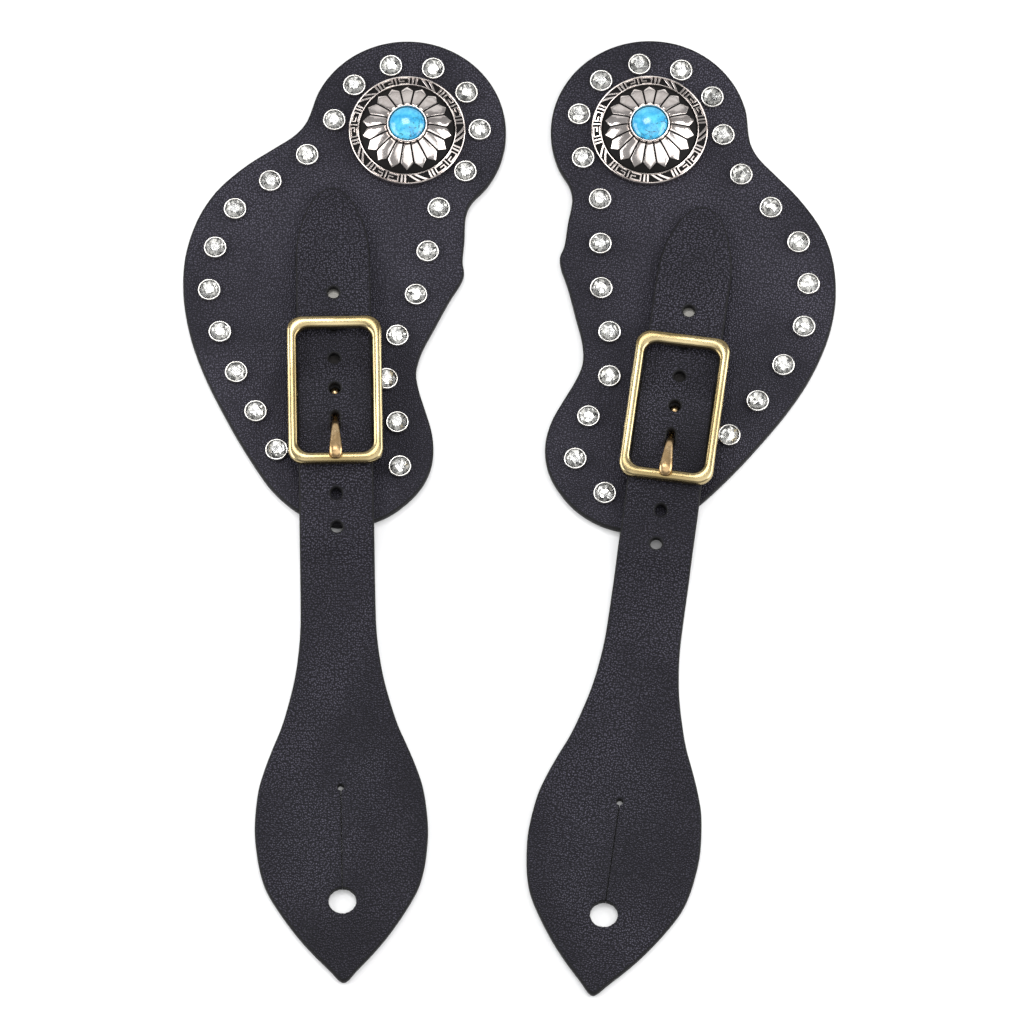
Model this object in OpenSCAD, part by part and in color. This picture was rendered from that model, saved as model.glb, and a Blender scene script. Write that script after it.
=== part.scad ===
// Pair of western spur straps: two mirrored leather straps that lie flat, each with a studded
// tongue, a threaded billet, a centre-bar buckle and a concho. Millimetres, +X to the right,
// +Y towards the conchos, +Z up. The origin is on the ground under the middle of the pair.

/* [Tongue] */
// Thickness of the tongue's leather
tongue_t = 2; // [1.8:0.1:2.2]
// Radius of the round lobe that carries the concho
lobe_r = 25.3; // [24.8:0.1:26]

/* [Billet] */
// Width of the billet
billet_w = 19.05; // [18:0.05:19.1]
// Thickness of the billet's leather
billet_t = 1.8; // [1.5:0.1:1.8]
// Length of the billet's elliptical tip
billet_tip = 20; // [16:1:24]
// Radius of the adjusting holes
adjust_r = 1.5; // [1:0.1:1.8]
// Distance between adjusting holes, seen from above
adjust_pitch = 9.13; // [8.8:0.01:9.2]
// Radius of the button hole in the leaf
button_r = 3.57; // [3:0.01:4]
// Radius of the small hole that ends the slit
slit_end_r = 0.85; // [0.5:0.05:1.2]
// Width of the slit that opens the button hole
slit_w = 0.3; // [0.2:0.05:0.5]

/* [Chape] */
// Width of the folded loop that holds the buckle
chape_w = 17; // [14:0.5:18]
// Thickness of one ply of the loop
chape_t = 0.7; // [0.5:0.05:0.7]

/* [Buckle] */
// Length of the buckle frame over its end bars
buckle_l = 40.5; // [39.5:0.1:41.5]
// Clear width inside the buckle frame
buckle_in_w = 19.5; // [19.4:0.05:20.5]
// Radius of the frame's round bar
frame_r = 1.4; // [1.2:0.05:1.4]
// Radius of the centre bar
bar_r = 1.2; // [1:0.05:1.2]
// Radius of the prong at its tip
prong_tip_r = 1.55; // [1.2:0.05:1.6]

/* [Concho] */
// Radius of the concho
concho_r = 15; // [14:0.1:15]
// Number of petals round the stone
petals = 18; // [12:1:20]
// Radius of the stone
stone_r = 4.6; // [4:0.1:4.6]

/* [Crystal rivets] */
// Radius of a crystal rivet's cup
stud_r = 2.95; // [2.6:0.05:2.95]
// Distance between rivets along the outer edge
outer_pitch = 11.9; // [11.6:0.05:12]
// Distance between rivets round the lobe
lobe_pitch = 11; // [10.8:0.05:11.1]
// Distance between rivets along the inner edge
inner_pitch = 12.3; // [12.1:0.05:12.4]

/* [Hidden] */
$fn = 48;

// Colours of the materials
LEATHER = [0.13, 0.13, 0.15];
BRASS = [0.79, 0.66, 0.37];
PRONG_BRASS = [0.76, 0.56, 0.36];
NICKEL = [0.75, 0.74, 0.71];
TURQUOISE = [0.24, 0.66, 0.87];
CRYSTAL = [0.93, 0.94, 0.95];

// How each strap lies: hand of the strap, middle of its centre bar on the ground, turn of its
// billet, the concho's centre seen from the centre bar, and the tongue's turn against the
// billet. The right strap is the mirror image of the left one and lies turned a little more.
LEFT = [0, -44.6, 32, 0.9, 19.5, 73.2, -0.9];
RIGHT = [1, 42.1, 27.1, 7.6, 16.6, 77, 5.4];

// Heights of the layers over the ground
air = 0.05;
ground_gap = 0.4;
tongue_top = ground_gap + tongue_t;
chape_top = tongue_top + 2 * chape_t;
bar_z = tongue_top + chape_t + air + bar_r;
rivet_head_h = 0.25;
frame_z = bar_z + 3.55;
frame_x = buckle_in_w / 2 + frame_r;
frame_y = buckle_l / 2 - frame_r;
frame_corner = 3.2;
leg_r = 1.25;

// Billet: height of its underside at stations along it, from the tip to the leaf. Station 0 is
// the centre bar, positive towards the tip. Between stations of unequal height it bends in an S.
billet_end = 57.5;
flex_y = -50;
tongue_rest = tongue_top + air;
chape_rest = chape_top + rivet_head_h + air;
over_bar = bar_z + bar_r + 2 * air + chape_t;
under_frame = frame_z - frame_r - air - billet_t;
BILLET_REST = [
  [billet_end, tongue_rest], [41, tongue_rest], [31, chape_rest], [11, chape_rest],
  [1.8, over_bar], [-1.8, over_bar], [-frame_y, under_frame], [-29, tongue_rest],
  [-36.5, tongue_rest], [-47, 0], [flex_y, 0]
];
bend_steps = 8;
flex_r = billet_t / 2;
flex_gap = 0.3;

// Leaf: half its width at stations along it, from the billet's straight stretch to its point
LEAF_HALF_W = [
  [-62, 9.65], [-70, 10.3], [-77, 11.4], [-84, 13.1], [-90, 14.9], [-96, 17.3], [-102, 19.5],
  [-108, 21.1], [-117, 22], [-124, 21.6], [-130, 20.6], [-135, 18.9], [-141, 15.5],
  [-147, 11.4], [-152, 7.3], [-156, 3.6], [-158.8, 1.2], [-159.5, 0]
];
button_y = -137.4;
slit_end_y = -106.6;
adjust_first_y = 27.8;
adjust_count = 8;
prong_hole = 4;
// The tail begins halfway between the second and third holes
tail_y = adjust_first_y - 1.5 * adjust_pitch;
slot_from_y = -5.3;
slot_to_y = -11.2;
slot_r = 1.3;

// Chape
chape_l = 32.5;
fold_end = 9;
chape_slot_w = 3;
CHAPE_RIVET_Y = [14.5, 27.8];
rivet_head_r = 3.2;
rivet_shank_r = 1.2;

// Prong: its line from the eye to the tip, with its radius at each point. The balls at the
// points are a little larger than the rods that they join.
knuckle = 1.04;
eye_r = bar_r + air;
eye_t = 0.65;
eye_w = 1.8;
PRONG = [[-1.6, 4.15, 0.75], [-6.2, 4.6, 0.75], [-10.8, 8.9, 0.85], [-19.7, 10.65, prong_tip_r]];

// Tongue outline seen from the concho's centre: from the lobe down the inner edge, round the
// bottom and up the outer edge to the lobe again
lobe_from = -36;
lobe_to = 168;
TONGUE_EDGE = [
  [16.6, -19.2], [15, -23.3], [14.7, -29.5], [14.2, -35.5], [14.6, -39], [13.5, -42],
  [10.8, -46.5], [7, -54], [3.8, -60.5], [2.4, -66], [3, -71], [4.6, -76.5], [6.3, -82.5],
  [6.8, -88], [6, -93], [3.6, -98], [-0.6, -102.6], [-6, -106.3], [-13, -108.5],
  [-20, -108.3], [-27, -105], [-32, -101], [-36.2, -96], [-42.3, -86], [-47, -77],
  [-51, -68.5], [-54.5, -59], [-56.6, -49.5], [-57.2, -41], [-56.3, -32.5], [-53.3, -23.5],
  [-48.5, -16], [-41.5, -9.5], [-34.5, -4.7], [-29.3, -1.2], [-26.3, 2]
];

// Line that the rivets follow, from the bottom of the outer edge round the concho and down
// the inner edge
ring_r = 18.6;
ring_from = 168;
ring_to = -36;
LINE_OUTER = [
  [-33.2, -88], [-43.4, -67], [-50.3, -46], [-49, -32], [-44, -21.5], [-34.5, -13.4],
  [-25.2, -6.2]
];
LINE_INNER = [
  [8.4, -20.6], [5.5, -32.3], [2.7, -44.2], [-2.3, -56], [-5.2, -68], [-2.4, -80.5],
  [-1.9, -93], [-11.8, -100.4]
];
outer_count = 9;
lobe_count = 5;
inner_count = 9;
stud_shank_r = 0.85;
stud_back_r = 2.2;
hole_air = 0.05;

// Concho: a dome that is part of a sphere, inside a patterned rim band
concho_z = tongue_top + 0.1;
dome_sphere_r = 20;
dome_r = 11.9;
dome_edge_z = concho_z + 1.7;
dome_centre_z = dome_edge_z - sqrt(pow(dome_sphere_r, 2) - pow(dome_r, 2));
seat_z = concho_z + 4.8;
shell_t = 0.9;
petal_h = 0.35;
dome_steps = 6;
petal_in = 5.7;
petal_out = 11.4;
bezel_r = stone_r + 0.65;
screw_r = 2;
screw_air = 0.05;
screw_head_r = 4.6;
boss_r = 3.6;
boss_depth = 3.4;

// Curves ---------------------------------------------------------------------------------

// Point at t between b and c on the smooth curve through a, b, c and d
function curve_point(a, b, c, d, t) =
  0.5 * (2 * b + (c - a) * t + (2 * a - 5 * b + 4 * c - d) * t * t
    + (3 * b - a - 3 * c + d) * t * t * t);

// Smooth closed curve through pts, with n points to each stretch
function closed_curve(pts, n) = let (m = len(pts)) [
  for (i = [0:m - 1], j = [0:n - 1])
    curve_point(pts[(i + m - 1) % m], pts[i], pts[(i + 1) % m], pts[(i + 2) % m], j / n)
];

// Smooth open curve through pts, with n points to each stretch
function open_curve(pts, n) = let (m = len(pts)) [
  for (i = [0:m - 2], j = [0:n - 1])
    curve_point(pts[max(i - 1, 0)], pts[i], pts[i + 1], pts[min(i + 2, m - 1)], j / n),
  pts[m - 1]
];

// Points on an arc round the origin
function arc(r, from, to, n) = [
  for (i = [0:n]) let (a = from + (to - from) * i / n) r * [cos(a), sin(a)]
];

// Distance along a line of points up to each of them
function distances(pts, i = 0, sum = 0) =
  i == len(pts) - 1 ? [sum]
  : concat([sum], distances(pts, i + 1, sum + norm(pts[i + 1] - pts[i])));

// Point at distance s along a line of points, given the distances up to each of them
function point_at(pts, d, s) = [
  lookup(s, [for (i = [0:len(pts) - 1]) [d[i], pts[i][0]]]),
  lookup(s, [for (i = [0:len(pts) - 1]) [d[i], pts[i][1]]])
];

// Side line of the billet: straight where two stations are level, else an S bend
function billet_line() = concat(
  [for (i = [0:len(BILLET_REST) - 2])
    let (a = BILLET_REST[i], b = BILLET_REST[i + 1], n = a[1] == b[1] ? 1 : bend_steps)
      for (j = [0:n - 1])
        let (t = j / n)
          [a[0] + (b[0] - a[0]) * t, a[1] + (b[1] - a[1]) * t * t * (3 - 2 * t)]],
  [BILLET_REST[len(BILLET_REST) - 1]]
);

// Half outline of the leaf, as points with x to the right
function leaf_side() = [
  for (p = open_curve([for (s = LEAF_HALF_W) [s[1], s[0]]], 3)) p
];

// Rivet positions on the tongue, seen from the concho's centre
STUD_LINE = open_curve(concat(LINE_OUTER, arc(ring_r, ring_from, ring_to, 12), LINE_INNER), 6);
STUD_D = distances(STUD_LINE);
function stud_s(i) =
  outer_pitch * min(i, outer_count)
  + lobe_pitch * max(0, min(i - outer_count, lobe_count))
  + inner_pitch * max(0, i - outer_count - lobe_count);
function stud_at(i) = point_at(STUD_LINE, STUD_D, stud_s(i));

// One place on the line stays empty, because the billet covers it: the last one on the left
// strap and the first one on the right strap
last_stud = outer_count + lobe_count + inner_count;
function studs(lie) = [for (i = [0:last_stud]) if (i != (lie[0] == 0 ? last_stud : 0)) stud_at(i)];

// Placing --------------------------------------------------------------------------------

// Puts children drawn round the middle of the centre bar where the strap lies
module on_strap(lie) {
  translate([lie[1], lie[2], 0]) mirror([lie[0], 0, 0]) rotate(lie[3]) children();
}

// Puts children drawn round the concho's centre where the tongue lies
module on_tongue(lie) {
  on_strap(lie) translate([lie[4], lie[5], 0]) rotate(lie[6]) children();
}

module at_studs(lie) {
  for (p = studs(lie)) on_tongue(lie) translate([p[0], p[1], 0]) children();
}

module at_chape_rivets(lie) {
  for (y = CHAPE_RIVET_Y) on_strap(lie) translate([0, y, 0]) children();
}

// Extrudes a side view, drawn with Y along the strap and Z up, across the strap
module across(w) {
  translate([-w / 2, 0, 0]) rotate([90, 0, 90]) linear_extrude(w) children();
}

// Cylinder across the strap, round the line at y and z
module bar_across(r, w, y, z) {
  translate([-w / 2, y, z]) rotate([0, 90, 0]) cylinder(r = r, h = w);
}

// Tapered round rod between two points [y, z, r] in the strap's middle plane
module rod(a, b) {
  run = [b[0] - a[0], b[1] - a[1]];
  translate([0, a[0], a[1]]) rotate([atan2(run[1], run[0]) - 90, 0, 0])
    cylinder(r1 = a[2], r2 = b[2], h = norm(run));
}

// Leather ----------------------------------------------------------------------------------

module tongue_outline() {
  polygon(closed_curve(concat(arc(lobe_r, lobe_to, lobe_from, 14), TONGUE_EDGE), 3));
}

module tongue_body(lie) {
  color(LEATHER) difference() {
    on_tongue(lie) translate([0, 0, ground_gap]) linear_extrude(tongue_t) tongue_outline();
    at_studs(lie) cylinder(r = stud_shank_r + hole_air, h = tongue_top + 1);
    at_chape_rivets(lie) cylinder(r = rivet_shank_r + hole_air, h = tongue_top + 1);
    on_tongue(lie) cylinder(r = screw_r + hole_air, h = tongue_top + 1);
    on_tongue(lie) cylinder(r = screw_head_r + hole_air, h = 2 * ground_gap);
  }
}

// The billet's thickness along its whole run, as wide as w
module billet_layer(w) {
  line = billet_line();
  n = len(line);
  across(w) polygon(concat(line, [for (i = [n - 1:-1:0]) line[i] + [0, billet_t]]));
}

module billet_outline() {
  straight = billet_end - billet_tip;
  polygon(concat(
    [[billet_w / 2, flex_y]],
    [for (a = [0:10:180]) [billet_w / 2 * cos(a), straight + billet_tip * sin(a)]],
    [[-billet_w / 2, flex_y]]
  ));
}

module adjusting_holes() {
  for (i = [0:adjust_count - 1]) if (i != prong_hole)
    translate([0, adjust_first_y - i * adjust_pitch, 0]) cylinder(r = adjust_r, h = frame_z + 5);
}

// Long hole that the prong comes up through
module prong_slot() {
  for (y = [slot_from_y - slot_r, slot_to_y + slot_r])
    translate([0, y, 0]) cylinder(r = slot_r, h = frame_z + 5);
  translate([-slot_r, slot_to_y + slot_r, 0])
    cube([2 * slot_r, slot_from_y - slot_to_y - 2 * slot_r, frame_z + 5]);
}

// The part of the billet between two lines across it
module billet_between(from_y, to_y) {
  intersection() {
    billet_layer(billet_w + 1);
    linear_extrude(frame_z + 5) billet_outline();
    translate([-billet_w, from_y, 0]) cube([2 * billet_w, to_y - from_y, frame_z + 5]);
  }
}

module billet(lie) {
  color(LEATHER) on_strap(lie) difference() {
    union() {
      billet_between(flex_y - 1, tail_y);
      bar_across(flex_r, billet_w, flex_y, flex_r);
    }
    adjusting_holes();
    prong_slot();
  }
}

// The end of the same leather, which lies on the tongue and has no bend of the buckle in it
module billet_tail(lie) {
  color(LEATHER) on_strap(lie) difference() {
    billet_between(tail_y + air, billet_end + 1);
    adjusting_holes();
  }
}

// The leaf takes over from the billet at the line where the leather bends up off the ground
module billet_leaf(lie) {
  side = leaf_side();
  n = len(side);
  color(LEATHER) on_strap(lie) difference() {
    linear_extrude(billet_t) polygon(concat(
      [[-billet_w / 2, flex_y], [billet_w / 2, flex_y]],
      side,
      [for (i = [n - 2:-1:0]) [-side[i][0], side[i][1]]]
    ));
    bar_across(flex_r + flex_gap, billet_w + 2, flex_y, flex_r);
    translate([0, button_y, -1]) cylinder(r = button_r, h = billet_t + 2);
    translate([0, slit_end_y, -1]) cylinder(r = slit_end_r, h = billet_t + 2);
    translate([-slit_w / 2, button_y, -1]) cube([slit_w, slit_end_y - button_y, billet_t + 2]);
  }
}

// Thin leather folded round the centre bar, with a slot in the fold for the prong's eye
module chape(lie) {
  loop_r = eye_r + chape_t;
  // Where the upper ply comes down to lie on the lower one
  fall = [for (i = [0:bend_steps]) let (t = i / bend_steps)
    [fold_end * t, bar_z + loop_r + (chape_top - bar_z - loop_r) * t * t * (3 - 2 * t)]];
  color(LEATHER) on_strap(lie) difference() {
    union() {
      bar_across(loop_r, chape_w, 0, bar_z);
      across(chape_w) polygon(concat(
        [[0, tongue_top]], fall, [[chape_l, chape_top], [chape_l, tongue_top]]
      ));
    }
    bar_across(eye_r, chape_w + 2, 0, bar_z);
    across(chape_w + 2) polygon(concat(
      [[0, tongue_top + chape_t]], [for (p = fall) p - [0, chape_t]]
    ));
    translate([-chape_slot_w / 2, -4, 0]) cube([chape_slot_w, 7.2, frame_z]);
    for (y = CHAPE_RIVET_Y)
      translate([0, y, 0]) cylinder(r = rivet_shank_r + hole_air, h = frame_z);
  }
}

// Fasteners under the billet ---------------------------------------------------------------

module chape_rivets(lie) {
  color(NICKEL) at_chape_rivets(lie) {
    translate([0, 0, ground_gap]) cylinder(r = rivet_shank_r, h = chape_top - ground_gap);
    translate([0, 0, chape_top]) cylinder(r1 = rivet_head_r, r2 = rivet_head_r - 0.6, h = rivet_head_h);
  }
}

module chape_rivet_caps(lie) {
  color(NICKEL) at_chape_rivets(lie) cylinder(r1 = rivet_head_r - 0.3, r2 = rivet_head_r, h = ground_gap);
}

// Buckle -------------------------------------------------------------------------------------

module buckle_frame(lie) {
  side_y = frame_y - frame_corner;
  end_x = frame_x - frame_corner;
  color(BRASS) on_strap(lie) union() {
    for (s = [-1, 1]) {
      translate([s * frame_x, -side_y, frame_z]) rotate([-90, 0, 0])
        cylinder(r = frame_r, h = 2 * side_y);
      bar_across(frame_r, 2 * end_x, s * frame_y, frame_z);
      translate([s * frame_x, 0, bar_z]) cylinder(r = leg_r, h = frame_z - bar_z);
      translate([s * frame_x, 0, bar_z]) sphere(r = leg_r);
    }
    for (c = [[1, 1, 0], [-1, 1, 90], [-1, -1, 180], [1, -1, 270]])
      translate([c[0] * end_x, c[1] * side_y, frame_z]) rotate(c[2])
        rotate_extrude(angle = 90) translate([frame_corner, 0]) circle(r = frame_r);
    bar_across(bar_r, 2 * frame_x, 0, bar_z);
  }
}

module buckle_prong(lie) {
  color(PRONG_BRASS) on_strap(lie) difference() {
    union() {
      bar_across(eye_r + eye_t, eye_w, 0, bar_z);
      for (i = [0:len(PRONG) - 2]) rod(PRONG[i], PRONG[i + 1]);
      for (p = PRONG) translate([0, p[0], p[1]]) sphere(r = p[2] * knuckle);
    }
    bar_across(eye_r, eye_w + 2, 0, bar_z);
    bar_across(frame_r + air, 10, -frame_y, frame_z);
  }
}

// Concho -------------------------------------------------------------------------------------

// Flat outline of one petal, along +X: narrow at the stone, widest near its pointed outer end
module petal_outline() {
  polygon([
    [petal_in, -0.75], [petal_out - 1.9, -1.5], [petal_out - 1.1, -1.45], [petal_out, 0],
    [petal_out - 1.1, 1.45], [petal_out - 1.9, 1.5], [petal_in, 0.75]
  ]);
}

// Line up the dome from radius r1 to r2, at a height extra over its face
function dome_line(r1, r2, extra) = [
  for (i = [0:dome_steps])
    let (r = r1 + (r2 - r1) * i / dome_steps)
      [r, dome_centre_z + sqrt(pow(dome_sphere_r + extra, 2) - r * r)]
];

// Half section of the shell: bored boss, dome, and rim band between two raised rings
module shell_section() {
  z = concho_z;
  bore_r = screw_r + screw_air;
  polygon(concat(
    [[0, z + boss_depth], [bore_r, z + boss_depth], [bore_r, z], [boss_r, z]],
    dome_line(boss_r, dome_r - 1, -shell_t),
    [
      [concho_r - 1.3, z + 0.35], [concho_r - 0.9, z], [concho_r, z], [concho_r, z + 1.2],
      [concho_r - 0.25, z + 1.5], [concho_r - 0.7, z + 1.5], [concho_r - 0.85, z + 1.25],
      [dome_r + 0.9, z + 1.6], [dome_r + 0.75, z + 1.95], [dome_r + 0.3, z + 2],
      [dome_r, z + 1.6]
    ],
    dome_line(dome_r - 0.2, bezel_r + air, 0),
    [[bezel_r + air, seat_z], [0, seat_z]]
  ));
}

module petal_layer() {
  rotate_extrude() polygon(concat(
    dome_line(petal_in - 1, petal_out + 0.5, -petal_h),
    dome_line(petal_out + 0.5, petal_in - 1, petal_h)
  ));
}

module concho_shell(lie) {
  color(NICKEL) on_tongue(lie) union() {
    rotate_extrude() shell_section();
    intersection() {
      petal_layer();
      for (i = [0:petals - 1]) rotate(i * 360 / petals)
        translate([0, 0, concho_z]) linear_extrude(10) petal_outline();
    }
  }
}

module concho_bezel(lie) {
  color(NICKEL) on_tongue(lie) rotate_extrude() polygon([
    [stone_r, seat_z], [bezel_r, seat_z], [bezel_r, seat_z + 0.9], [stone_r + 0.35, seat_z + 1.3],
    [stone_r, seat_z + 1.3]
  ]);
}

module concho_stone(lie) {
  wall = 1.1;
  crown = 1.4;
  crown_r = (pow(stone_r, 2) + pow(crown, 2)) / (2 * crown);
  color(TURQUOISE) on_tongue(lie) intersection() {
    translate([0, 0, seat_z]) cylinder(r = stone_r, h = wall + crown);
    translate([0, 0, seat_z + wall + crown - crown_r]) sphere(r = crown_r);
  }
}

module concho_screw(lie) {
  head_h = 2 * ground_gap;
  color(NICKEL) on_tongue(lie) difference() {
    union() {
      cylinder(r = screw_head_r, h = head_h);
      cylinder(r = screw_r, h = concho_z + boss_depth - 0.4);
    }
    translate([-screw_head_r, -0.5, -1]) cube([2 * screw_head_r, 1, 1 + head_h / 2]);
  }
}

// Crystal rivets -----------------------------------------------------------------------------

module stud_rims(lie) {
  color(NICKEL) at_studs(lie) {
    translate([0, 0, ground_gap]) cylinder(r = stud_shank_r, h = tongue_t + 0.3);
    translate([0, 0, tongue_top]) difference() {
      cylinder(r1 = stud_r, r2 = stud_r - 0.35, h = 0.95);
      translate([0, 0, 0.3]) cylinder(r = stud_r - 0.6, h = 1);
    }
  }
}

module stud_crystals(lie) {
  girdle_r = stud_r - 0.6;
  color(CRYSTAL) at_studs(lie) translate([0, 0, tongue_top + 0.3]) {
    cylinder(r = girdle_r, h = 0.5);
    translate([0, 0, 0.5]) cylinder(r1 = girdle_r, r2 = girdle_r * 0.58, h = 0.7);
  }
}

module stud_backs(lie) {
  color(NICKEL) at_studs(lie) cylinder(r1 = stud_back_r - 0.3, r2 = stud_back_r, h = ground_gap);
}

tongue_body(LEFT);  // left_tongue_body
billet(LEFT);  // left_billet
billet_tail(LEFT);  // left_billet_tail
billet_leaf(LEFT);  // left_billet_leaf
chape(LEFT);  // left_chape
chape_rivets(LEFT);  // left_chape_rivets
chape_rivet_caps(LEFT);  // left_chape_rivet_caps
buckle_frame(LEFT);  // left_buckle_frame
buckle_prong(LEFT);  // left_buckle_prong
concho_shell(LEFT);  // left_concho_shell
concho_bezel(LEFT);  // left_concho_bezel
concho_stone(LEFT);  // left_concho_stone
concho_screw(LEFT);  // left_concho_screw
stud_rims(LEFT);  // left_stud_rims
stud_crystals(LEFT);  // left_stud_crystals
stud_backs(LEFT);  // left_stud_backs
tongue_body(RIGHT);  // right_tongue_body
billet(RIGHT);  // right_billet
billet_tail(RIGHT);  // right_billet_tail
billet_leaf(RIGHT);  // right_billet_leaf
chape(RIGHT);  // right_chape
chape_rivets(RIGHT);  // right_chape_rivets
chape_rivet_caps(RIGHT);  // right_chape_rivet_caps
buckle_frame(RIGHT);  // right_buckle_frame
buckle_prong(RIGHT);  // right_buckle_prong
concho_shell(RIGHT);  // right_concho_shell
concho_bezel(RIGHT);  // right_concho_bezel
concho_stone(RIGHT);  // right_concho_stone
concho_screw(RIGHT);  // right_concho_screw
stud_rims(RIGHT);  // right_stud_rims
stud_crystals(RIGHT);  // right_stud_crystals
stud_backs(RIGHT);  // right_stud_backs
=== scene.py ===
"""Pair of studded western spur straps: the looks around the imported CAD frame. Lengths in the
builders are millimetres in each strap's own frame; everything placed is in metres."""

import math

import bpy
import numpy as np
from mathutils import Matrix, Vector, noise
from mathutils.geometry import delaunay_2d_cdt


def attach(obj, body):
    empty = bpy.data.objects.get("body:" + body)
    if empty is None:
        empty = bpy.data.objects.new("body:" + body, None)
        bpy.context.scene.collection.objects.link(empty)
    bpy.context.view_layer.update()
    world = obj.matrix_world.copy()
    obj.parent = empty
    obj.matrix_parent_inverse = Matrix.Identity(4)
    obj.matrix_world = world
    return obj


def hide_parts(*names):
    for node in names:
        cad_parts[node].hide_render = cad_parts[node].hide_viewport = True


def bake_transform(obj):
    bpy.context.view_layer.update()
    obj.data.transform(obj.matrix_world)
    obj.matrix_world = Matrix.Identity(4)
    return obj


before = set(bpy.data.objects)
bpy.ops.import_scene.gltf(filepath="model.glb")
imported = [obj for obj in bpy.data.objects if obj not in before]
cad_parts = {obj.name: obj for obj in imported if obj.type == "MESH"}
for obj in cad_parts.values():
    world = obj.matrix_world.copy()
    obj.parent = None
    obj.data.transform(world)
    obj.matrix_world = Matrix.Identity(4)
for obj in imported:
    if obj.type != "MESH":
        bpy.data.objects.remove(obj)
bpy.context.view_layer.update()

MM = 0.001

# Sizes shared with the CAD design
GROUND_GAP = 0.4
TONGUE_T = 2.0
TONGUE_TOP = GROUND_GAP + TONGUE_T
BILLET_W = 19.05
BILLET_T = 1.8
BILLET_END = 57.5
BILLET_TIP = 20.0
LEAF_END = -159.5
FLEX_Y = -50.0
ADJUST_R = 1.5
ADJUST_FIRST_Y = 27.8
ADJUST_PITCH = 9.13
ADJUST_COUNT = 8
PRONG_HOLE = 4
PRONG_SLOT_Y = (-6.95, -9.8)
PRONG_SLOT_HALF_W = 1.12
BUTTON_R = 3.57
BUTTON_Y = -137.4
SLIT_END_R = 0.85
SLIT_END_Y = -106.6
BAR_Z = 4.35
BAR_R = 1.2
FRAME_Z = 7.9
FRAME_R = 1.4
FRAME_X = 11.15
FRAME_Y = 18.85
CHAPE_W = 17.0
CHAPE_T = 0.7
CHAPE_L = 32.5
CHAPE_FOLD = 9.0
CHAPE_RIVET_Y = (14.5, 27.8)
CONCHO_Z = 2.5
SCREW_RECESS_R = 5.2
SCREW_RECESS = 0.45
CONCHO_R = 15.0
DOME_R = 11.9
DOME_SPHERE_R = 20.0
DOME_CENTRE_Z = CONCHO_Z + 1.7 - math.sqrt(DOME_SPHERE_R**2 - DOME_R**2)
SEAT_Z = CONCHO_Z + 4.8
STONE_R = 4.6
STUD_R = 2.95
PETALS = 18
FRET_REPEATS = 5

# How much slimmer the real buckle's sides are than the CAD frame's, and how much thicker its top
FRAME_SLIM = 0.4
TOP_BAR_EXTRA = 0.3

# Height of the billet's underside along it, and half the leaf's width along it
BILLET_REST = [
    (57.5, 2.45), (41, 2.45), (31, 4.1), (11, 4.1), (1.8, 6.35), (-1.8, 6.35),
    (-18.85, 4.65), (-29, 2.45), (-36.5, 2.45), (-47, 0), (-160, 0),
]
LEAF_HALF_W = [
    (-50, 9.525), (-62, 9.65), (-70, 10.3), (-77, 11.4), (-84, 13.1), (-90, 14.9), (-96, 17.3),
    (-102, 19.5), (-108, 21.1), (-117, 22), (-124, 21.6), (-130, 20.6), (-135, 18.9),
    (-141, 15.5), (-147, 11.4), (-152, 7.3), (-156, 3.6), (-158.8, 1.2), (-159.5, 0),
]


class Lie:
    """How one strap lies: its hand, the middle of its centre bar, its turn and its concho."""

    def __init__(self, side, mirrored, bar, turn, concho, seed):
        self.side, self.mirrored, self.seed = side, mirrored, seed
        self.bar, self.turn, self.concho = bar, math.radians(turn), concho

    def place(self, points):
        """Points drawn round the middle of the centre bar, in millimetres, put in the frame."""
        p = turned(np.asarray(points, float), self.turn)
        if self.mirrored:
            p[:, 0] *= -1
        p[:, :2] += self.bar
        return p * MM

    def unplace(self, points):
        """Points of the frame as they lie round the middle of the centre bar, in millimetres."""
        p = np.array(points, float) / MM
        p[:, :2] -= self.bar
        if self.mirrored:
            p[:, 0] *= -1
        return turned(p, -self.turn)

    def on_concho(self, points):
        """Points drawn round the concho's axis, in millimetres, put in the frame."""
        return (points + self.place([[*self.concho, 0]])[0] / MM * [1, 1, 0]) * MM


def in_metres(points):
    return points * MM


def turned(p, a):
    """Points turned by an angle round the Z axis."""
    q = p.copy()
    q[:, 0] = p[:, 0] * math.cos(a) - p[:, 1] * math.sin(a)
    q[:, 1] = p[:, 0] * math.sin(a) + p[:, 1] * math.cos(a)
    return q


LIES = [
    Lie("left", False, (-44.6, 32.0), 0.9, (19.5, 73.2), 11),
    Lie("right", True, (42.1, 27.1), 7.6, (16.6, 77.0), 23),
]

# ---- mesh building


def placed(name, data, at=(0, 0, 0), facing=None):
    """A new object in the scene, its -Z axis along the direction that it faces, if any."""
    made = bpy.data.objects.new(name, data)
    made.location = at
    if facing is not None:
        made.rotation_mode = "QUATERNION"
        made.rotation_quaternion = facing.to_track_quat("-Z", "Y")
    bpy.context.scene.collection.objects.link(made)
    return made


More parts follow.
